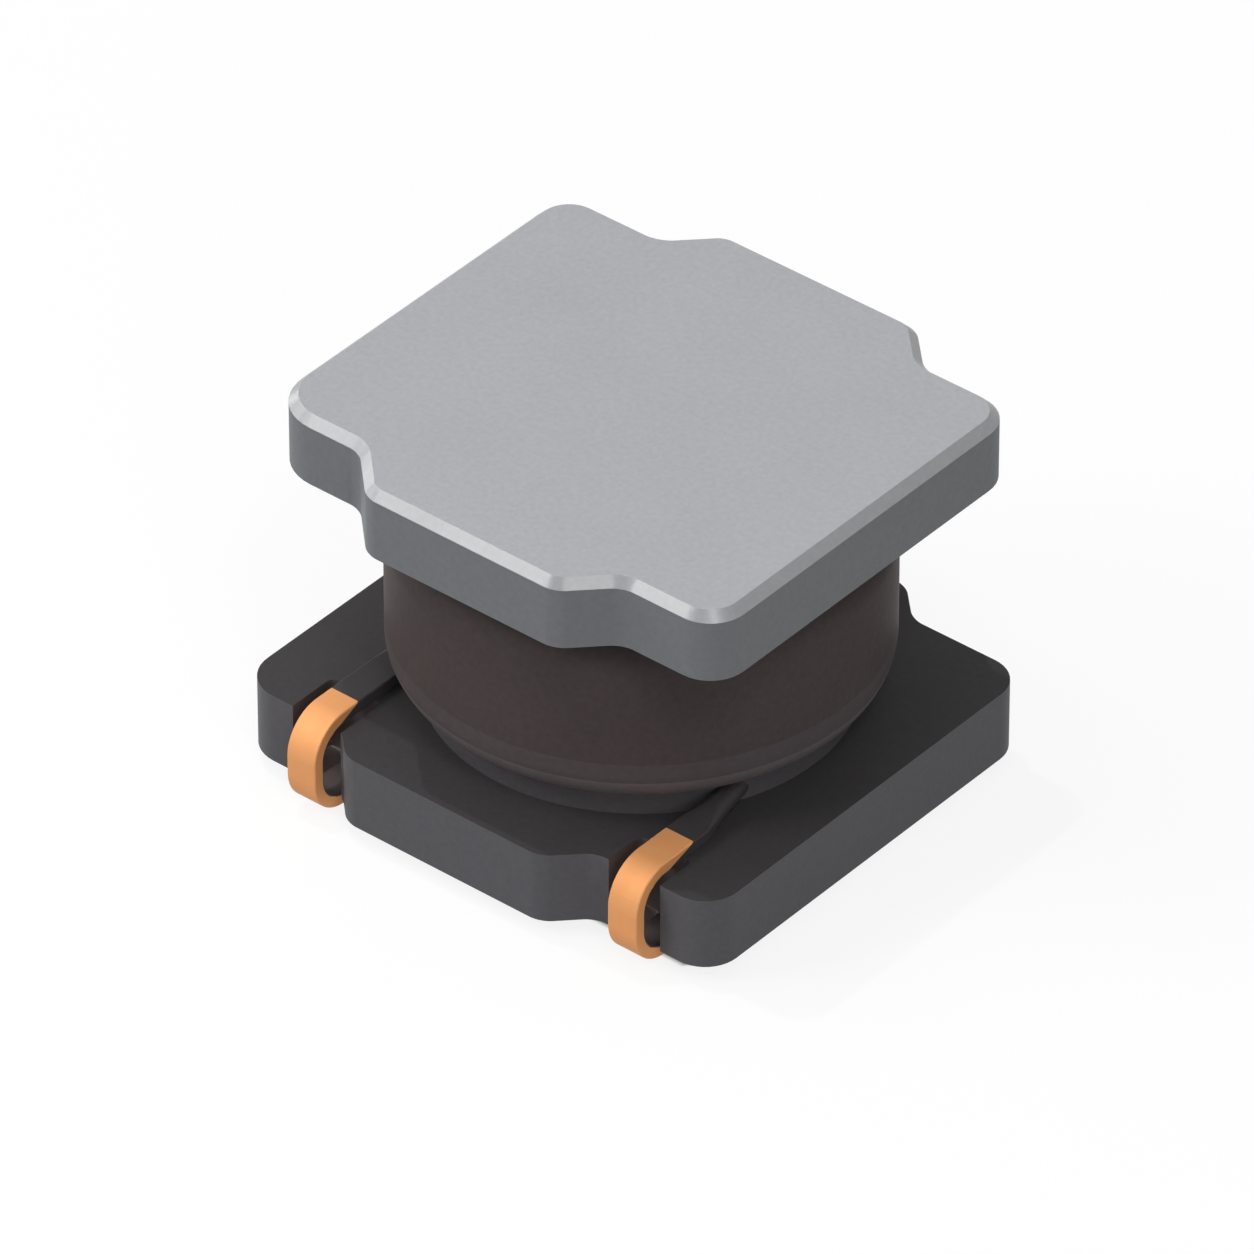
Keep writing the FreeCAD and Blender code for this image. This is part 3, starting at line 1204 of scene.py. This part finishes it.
    def build_turns(self) -> Workpiece:
        """The wound turns as one turned shape.

        Returns:
            The turns, with a round ridge for each turn of the outer layer.
        """
        base_top = self.core.base.top
        turns = int((self.core.top.bottom - base_top) / self.turn_pitch)
        half_pitch = self.turn_pitch / 2
        coil_top = base_top + turns * self.turn_pitch
        first = base_top + half_pitch
        ridge_radius = (half_pitch**2 + self.groove_depth**2) / (2 * self.groove_depth)
        ridge_sweep = 2 * math.degrees(math.asin(half_pitch / ridge_radius))
        crest = self.inner_layer + self.wire_radius
        coil = Workpiece.outline("wire", self.core.post_radius, base_top)
        with coil.shaping():
            coil.draw_to(self.inner_layer, base_top)
            coil.draw_to(crest, first)
            coil.draw_to(self.coil_radius - self.groove_depth, first)
            for turn in range(turns - 1):
                level = first + (turn + 0.5) * self.turn_pitch
                coil.draw_arc(self.coil_radius - ridge_radius, level, ridge_sweep, self.ridge_steps)
            coil.draw_to(crest, coil_top - half_pitch)
            coil.draw_to(self.inner_layer, coil_top)
            coil.draw_to(self.core.post_radius, coil_top)
            coil.draw_to(self.core.post_radius, base_top)
            coil.turn(self.turn_steps)
        return coil

    def is_in_hook(self, middle: Vector, normal: Vector) -> bool:
        """Whether a face of the wire lies below the strip on the base flange."""
        return middle.z < self.core.base.top - self.strip_thickness

    def is_bare(self, middle: Vector, normal: Vector) -> bool:
        """Whether a face is bare: past the enamel's slanted edge, and not inside the hook.

        Args:
            middle: The middle of the face.
            normal: The direction of the face.

        Returns:
            True for bare copper.
        """
        end = self.ends[0] if middle.x < 0 else self.ends[1]
        edge = end.bare_from - (self.strip_top - middle.z) * end.bare_slant
        in_front = middle.y < max(edge, self.bend_place(end) - self.bare_margin)
        hook_level = self.strip_top / 2
        turned_in = (middle.z - hook_level) * normal.z < -self.inside_slope * hook_level
        inside = normal.y > self.inside_slope or turned_in
        return (in_front or self.is_in_hook(middle, normal)) and not inside

    def build(self) -> bpy.types.Object:
        """Builds the whole wire, enamelled except for its bare ends, with painted shade inside the
        hooks.

        Returns:
            The finished piece.
        """
        wire = self.build_turns()
        for end in self.ends:
            wire.combine(self.build_end(end), Joining.ADD)
        wire.smooth(SHARP_EDGE)
        wire.dress(WIRE_ENAMEL)
        # Painted shade: the wire's faces below the strip that turn inwards, into the slots' shade.
        wire.dress(PAINTED_SHADE_HOOK, self.is_in_hook)
        wire.dress(BARE_COPPER, self.is_bare)
        return wire.complete(Slot.WIRE, "winding")


# The coat


@dataclass(frozen=True)
class ResinShield:
    """The coat of magnetic resin round the winding, with rounded edges above and below, a painted
    highlight along its lower edge and painted shade on its foot.
    """

    core: DrumCore
    winding: Winding
    thickness: float = 0.55
    edge_radius: float = 0.42
    edge_sweep: float = 79.0
    edge_steps: int = 14
    turn_steps: int = 192
    lead_clearance: float = 0.04
    highlight_band_height: float = 0.15
    overhang: float = 0.2
    place: float = 0.04

    def build(self) -> bpy.types.Object:
        """Builds the coat, turned round an axis that is a little beside that of the post.

        Returns:
            The finished piece.
        """
        bore = self.winding.coil_radius + self.place
        radius = self.winding.coil_radius + self.thickness
        gap = self.winding.wire_diameter + self.lead_clearance
        angle = math.radians(self.edge_sweep)
        tip = self.edge_radius * math.sin(angle)
        neck = radius - self.edge_radius * (1 - math.cos(angle))
        bottom, top = self.core.base.top, self.core.top.bottom
        foot = bottom + gap
        low = foot + tip
        high = top - gap - tip
        highlight_band_top = low + self.highlight_band_height
        edge_centre = radius - self.edge_radius
        coat = Workpiece.outline("resin_coat", bore, bottom)
        with coat.shaping():
            coat.draw_to(neck, bottom)
            coat.draw_to(neck, foot)
            coat.draw_arc(edge_centre, low, self.edge_sweep, self.edge_steps)
            coat.draw_to(radius, highlight_band_top)
            coat.draw_to(radius, high)
            coat.draw_arc(edge_centre, high, self.edge_sweep, self.edge_steps)
            coat.draw_to(neck, top)
            coat.draw_to(bore, top)
            coat.draw_to(bore, bottom)
            coat.turn(self.turn_steps)
        coat.move(self.place)
        coat.smooth(SHARP_EDGE)
        coat.dress(COAT_RESIN)
        # Painted highlight: a paler band just above the foot, and paler still under the rounded
        # lower edge.
        coat.dress(PAINTED_HIGHLIGHT_BAND_RESIN, lambda middle, normal: foot < middle.z < highlight_band_top)
        coat.dress(
            PAINTED_HIGHLIGHT_EDGE_RESIN,
            lambda middle, normal: normal.z < -self.overhang and foot < middle.z < low,
        )
        # Painted light and shade on the foot below the rounded lower edge.
        coat.dress(PAINTED_SHADE_FOOT_RESIN, lambda middle, normal: middle.z < foot)
        return coat.complete(Slot.RESIN, "resin_shield")


# The underside


@dataclass(frozen=True)
class Underside:
    """The plated terminals under the base flange and the solder over each wire end."""

    core: DrumCore
    winding: Winding
    terminal_width: float = 1.35
    terminal_length: float = 4.0
    terminal_edge: float = 0.20
    terminal_corner_radius: float = 0.12
    terminal_softness: float = 0.006
    softness_segments: int = 2
    solder_margin: float = 0.10
    solder_corner_radius: float = 0.30
    corner_segments: int = 8
    solder_edge: float = 0.10
    solder_edge_segments: int = 6
    shade_droop: float = 0.7
    shade_turn: float = 0.3

    @property
    def plating_bottom(self) -> float:
        """The level of the plating's lower face."""
        return self.winding.solder_film + self.winding.strip_thickness

    def faces_slots(self, middle: Vector, normal: Vector) -> bool:
        """Whether a face turns to the open ends of the wire slots, where shade is painted on."""
        return normal.z > -self.shade_droop and normal.y < -self.shade_turn * normal.xy.length

    def pad(
        self, name: str, way: int, margin: float, levels: tuple[float, float], radius: float
    ) -> Workpiece:
        """A flat pad on one side.

        Args:
            name: The name of the piece.
            way: -1 for the left terminal and 1 for the right one.
            margin: How far the pad stays inside the terminal's outline.
            levels: Its lower and upper level.
            radius: The radius of its corners.

        Returns:
            The pad, with rounded corners.
        """
        outer = self.core.base.ends[max(way, 0)] - way * (self.terminal_edge + margin)
        x_limits = sorted([outer, outer - way * (self.terminal_width - 2 * margin)])
        start = self.core.slot_end + margin
        end = self.core.slot_end + self.terminal_length - margin
        low, high = zip(x_limits, (start, end), levels)
        piece = Workpiece.block(name, low, high)
        with piece.shaping():
            piece.pick(Element.EDGES, stands_upright)
            piece.bevel(radius, self.corner_segments)
        return piece

    def build_terminal(self, side: str, way: int) -> bpy.types.Object:
        """Builds the plated pad that is fired onto the ferrite.

        Args:
            side: The side's name.
            way: -1 for the left terminal and 1 for the right one.

        Returns:
            The finished piece.
        """
        levels = (self.plating_bottom, self.core.base.bottom)
        piece = self.pad(side + "_plating", way, 0, levels, self.terminal_corner_radius)
        piece.soften(self.terminal_softness, self.softness_segments)
        piece.smooth(SHARP_AFTER_ROUNDING)
        piece.dress(TIN_PLATING)
        # Painted shade on the faces towards the slots' open ends.
        piece.dress(PAINTED_SLOT_SHADE_FILM, self.faces_slots)
        return piece.complete(Slot.PLATING, side + "_terminal")

    def build_solder(self, side: str, way: int, end: WireEnd) -> bpy.types.Object:
        """Builds the solder, with a flat underside and a channel for the wire end.

        Args:
            side: The side's name.
            way: -1 for the left terminal and 1 for the right one.
            end: The wire end in the solder.

        Returns:
            The finished piece.
        """
        levels = (0, self.plating_bottom)
        name = side + "_solder_mound"
        piece = self.pad(name, way, self.solder_margin, levels, self.solder_corner_radius)
        with piece.shaping():
            piece.pick(Element.EDGES, lambda middle, along: abs(middle.z) < CLOSE)
            piece.bevel(self.solder_edge, self.solder_edge_segments)
        half = self.winding.strip_width / 2
        channel_top = self.plating_bottom + self.winding.strip_thickness
        low = (end.place - half, -self.core.base.width, self.winding.solder_film)
        high = (end.place + half, self.winding.tail_end, channel_top)
        piece.combine(Workpiece.block("channel", low, high), Joining.CUT)
        piece.smooth(SHARP_AFTER_ROUNDING)
        piece.dress(SOLDER_TIN)
        # Painted shade on the faces towards the slots' open ends.
        piece.dress(PAINTED_SLOT_SHADE_FILM, self.faces_slots)
        return piece.complete(Slot.SOLDER, side + "_solder")

    def build(self) -> list[bpy.types.Object]:
        """Builds both terminals and the solder on them.

        Returns:
            The four finished pieces.
        """
        pieces = []
        for side, way, end in zip(("left", "right"), (-1, 1), self.winding.ends):
            pieces.append(self.build_terminal(side, way))
            pieces.append(self.build_solder(side, way, end))
        return pieces


# The studio


@dataclass(frozen=True)
class Softbox:
    """A square lamp that shines on the middle of the object."""

    name: str
    towards: Place
    size: float
    level: float
    distance: float = 120.0

    def build(self, middle: Vector) -> None:
        """Adds the lamp.

        Args:
            middle: The middle of the object, in metres.
        """
        lamp = bpy.data.lights.new(self.name, "AREA")
        lamp.shape = "SQUARE"
        lamp.size = self.size * METRES_PER_MM
        lamp.energy = self.level * math.pi * lamp.size**2
        holder = bpy.data.objects.new(self.name, lamp)
        bpy.context.scene.collection.objects.link(holder)
        way = Vector(self.towards).normalized()
        holder.location = middle + way * self.distance * METRES_PER_MM
        holder.rotation_euler = way.to_track_quat("Z", "Y").to_euler()


@dataclass(frozen=True)
class Studio:
    """A white floor, soft lamps, a pale world and a narrow light."""

    floor_radius: float = 2000.0
    floor_sides: int = 96
    floor_colour: Colour = (0.97, 0.97, 0.97)
    floor_bounce: Colour = (0.38, 0.38, 0.38)
    floor_glow: float = 0.85
    # Painted shade: the colour the eye sees on the floor under the object.
    painted_shade_colour: Colour = (0.150, 0.125, 0.120)
    shade_half_length: float = 2.85
    shade_half_width: float = 2.36
    shade_corner: float = 4.90
    shade_blur: float = 0.08
    world_level: float = 0.23
    sun_level: float = 0.17
    sun_elevation: float = 75.0
    sun_spread: float = 0.8
    softboxes: tuple[Softbox, ...] = (
        Softbox("overhead_softbox", (-0.15, -0.12, 1.0), size=90.0, level=1.12),
        Softbox("left_softbox", (-0.51, -0.60, 0.61), size=40.0, level=9.2),
        Softbox("far_left_softbox", (-0.88, -0.29, 0.37), size=34.0, level=6.0),
        Softbox("low_left_softbox", (-0.98, 0.14, 0.10), size=28.0, level=6.5),
        Softbox("front_softbox", (0.48, -0.37, 0.80), size=30.0, level=8.4),
        Softbox("right_softbox", (0.75, -0.45, 0.45), size=60.0, level=1.6),
        Softbox("low_softbox", (0.65, -0.65, 0.30), size=60.0, level=1.15),
    )

    def background_share(self, sheet: NodeSheet) -> Socket:
        """Tells rays that show the background itself from those that light the object.

        Args:
            sheet: The node sheet that needs it.

        Returns:
            1 for rays that show the background, by sight, by gloss or through glass.
        """
        path = sheet.add("ShaderNodeLightPath").outputs
        shown = sheet.math("MAXIMUM", path["Is Camera Ray"], path["Is Glossy Ray"])
        return sheet.math("MAXIMUM", shown, path["Is Transmission Ray"])

    def open_floor(self, sheet: NodeSheet) -> Socket:
        """Tells the open floor from the part of it that the object covers.

        Args:
            sheet: The floor's node sheet.

        Returns:
            1 on the open floor and 0 on the covered part.
        """
        place = sheet.add("ShaderNodeSeparateXYZ", {0: sheet.millimetres()}).outputs
        along_x, along_y = (sheet.math("ABSOLUTE", place[axis]) for axis in "XY")
        past_end = sheet.math("SUBTRACT", along_x, self.shade_half_length)
        past_side = sheet.math("SUBTRACT", along_y, self.shade_half_width)
        past_corner = sheet.math("SUBTRACT", sheet.math("ADD", along_x, along_y), self.shade_corner)
        outside = sheet.math("MAXIMUM", sheet.math("MAXIMUM", past_end, past_side), past_corner)
        fade = {"Value": outside, "From Min": -self.shade_blur, "From Max": 0.0}
        return sheet.add("ShaderNodeMapRange", fade).outputs[0]

    def build_floor(self) -> None:
        """Adds a wide white floor that can be looked through from below.

        Below the object it shows painted shade to the eye and lets the light of the lamps through.
        """
        Workpiece.clear_bench()
        bpy.ops.mesh.primitive_circle_add(
            vertices=self.floor_sides, radius=self.floor_radius * METRES_PER_MM, fill_type="NGON"
        )
        floor = bpy.context.active_object
        floor.name = "floor"
        material = bpy.data.materials.new("white_floor")
        material.use_nodes = True
        material.node_tree.nodes.clear()
        sheet = NodeSheet(material.node_tree)
        shown = self.background_share(sheet)
        uncovered = self.open_floor(sheet)
        # Painted shade: the covered floor shows a dark colour to the eye.
        seen_colour = sheet.blend(uncovered, opaque(self.painted_shade_colour), opaque(self.floor_colour))
        colour = sheet.blend(shown, opaque(self.floor_bounce), seen_colour)
        matte = sheet.add("ShaderNodeBsdfDiffuse", {"Color": colour}).outputs[0]
        glow = sheet.add("ShaderNodeEmission", {"Strength": 1.0}).outputs[0]
        open_glow = sheet.math("MULTIPLY", uncovered, self.floor_glow)
        glow_share = sheet.math("MULTIPLY", shown, open_glow)
        seen = sheet.add("ShaderNodeMixShader", {0: glow_share, 1: matte, 2: glow}).outputs[0]
        clear = sheet.add("ShaderNodeBsdfTransparent").outputs[0]
        below = sheet.add("ShaderNodeNewGeometry").outputs["Backfacing"]
        sight = sheet.add("ShaderNodeLightPath").outputs["Is Camera Ray"]
        cover = sheet.math("SUBTRACT", 1.0, sheet.math("MAXIMUM", uncovered, sight))
        clear_share = sheet.math("MAXIMUM", below, cover)
        surface = sheet.add("ShaderNodeMixShader", {0: clear_share, 1: seen, 2: clear}).outputs[0]
        sheet.add("ShaderNodeOutputMaterial", {"Surface": surface})
        floor.data.materials.append(material)

    def build_world(self) -> None:
        """Adds an even pale world that looks white."""
        world = bpy.data.worlds.new("studio_world")
        world.use_nodes = True
        world.node_tree.nodes.clear()
        sheet = NodeSheet(world.node_tree)
        shown = self.background_share(sheet)
        level = sheet.math("MULTIPLY_ADD", shown, 1.0 - self.world_level, self.world_level)
        white = {"Color": opaque((1, 1, 1)), "Strength": level}
        sky = sheet.add("ShaderNodeBackground", white).outputs[0]
        sheet.add("ShaderNodeOutputWorld", {"Surface": sky})
        bpy.context.scene.world = world

    def build_sun(self) -> None:
        """Adds a narrow light from the left, for the top flange's shadow on the base flange."""
        lamp = bpy.data.lights.new("shadow_light", "SUN")
        lamp.energy = self.sun_level * math.pi
        lamp.angle = math.radians(self.sun_spread)
        holder = bpy.data.objects.new("shadow_light", lamp)
        bpy.context.scene.collection.objects.link(holder)
        holder.rotation_euler = (0, -math.radians(90 - self.sun_elevation), 0)

    def build(self) -> None:
        """Builds the whole studio apart from the camera."""
        low, high = CAD_BOX
        self.build_floor()
        self.build_world()
        self.build_sun()
        for softbox in self.softboxes:
            softbox.build((low + high) / 2)
        bpy.context.scene.view_settings.view_transform = "Standard"


@dataclass(frozen=True)
class PhotoCamera:
    """The camera at the photograph's angle, fitted to the object's straight edges."""

    azimuth: float = 39.6793
    elevation: float = 37.0298
    distance: float = 142.86
    focal_pixels: float = 14274.0
    image_pixels: int = 1254
    aim_level: float = 2.36
    aim_pixel: tuple[float, float] = (638.40, 569.89)
    sensor_width: float = 36.0
    nearest: float = 1.0
    farthest: float = 10000.0

    def build(self) -> None:
        """Adds the camera and makes it the scene's own."""
        turn = math.radians(self.azimuth)
        tilt = math.radians(self.elevation)
        right = Vector((math.cos(turn), math.sin(turn), 0))
        level_forward = Vector((-math.sin(turn), math.cos(turn), 0))
        forward = level_forward * math.cos(tilt) - Vector((0, 0, math.sin(tilt)))
        upward = level_forward * math.sin(tilt) + Vector((0, 0, math.cos(tilt)))
        pixels_per_mm = self.focal_pixels / self.distance
        aside = (self.aim_pixel[0] - self.image_pixels / 2) / pixels_per_mm
        above = (self.image_pixels / 2 - self.aim_pixel[1]) / pixels_per_mm
        aim = Vector((POST_PLACE, 0, self.aim_level))
        place = aim - right * aside - upward * above - forward * self.distance
        lens = bpy.data.cameras.new("photo_camera")
        lens.sensor_width = self.sensor_width
        lens.lens = self.focal_pixels / self.image_pixels * self.sensor_width
        lens.clip_start = self.nearest * METRES_PER_MM
        lens.clip_end = self.farthest * METRES_PER_MM
        camera = bpy.data.objects.new("photo_camera", lens)
        bpy.context.scene.collection.objects.link(camera)
        camera.location = place * METRES_PER_MM
        camera.rotation_euler = forward.to_track_quat("-Z", "Y").to_euler()
        bpy.context.scene.camera = camera


# The whole scene


def report(piece: bpy.types.Object) -> None:
    """Logs a finished piece: its faces, its open edges and its volume.

    Args:
        piece: The piece.
    """
    mesh = bmesh.new()
    mesh.from_mesh(piece.data)
    open_edges = sum(not edge.is_manifold for edge in mesh.edges)
    volume = mesh.calc_volume(signed=True) / METRES_PER_MM**3
    facts = (piece.name, len(mesh.faces), open_edges, volume)
    LOG.info("%s: %d faces, %d open edges, %.3f mm3", *facts)
    mesh.free()


def main() -> None:
    """Builds the camera, the studio and the object, and reports each piece."""
    logging.basicConfig(level=logging.INFO, format="%(name)s: %(message)s")
    PhotoCamera().build()
    Studio().build()
    core = DrumCore()
    winding = Winding(core)
    pieces = [core.build(), winding.build(), ResinShield(core, winding).build()]
    pieces += Underside(core, winding).build()
    for piece in pieces:
        report(piece)


if __name__ == "__main__":
    main()
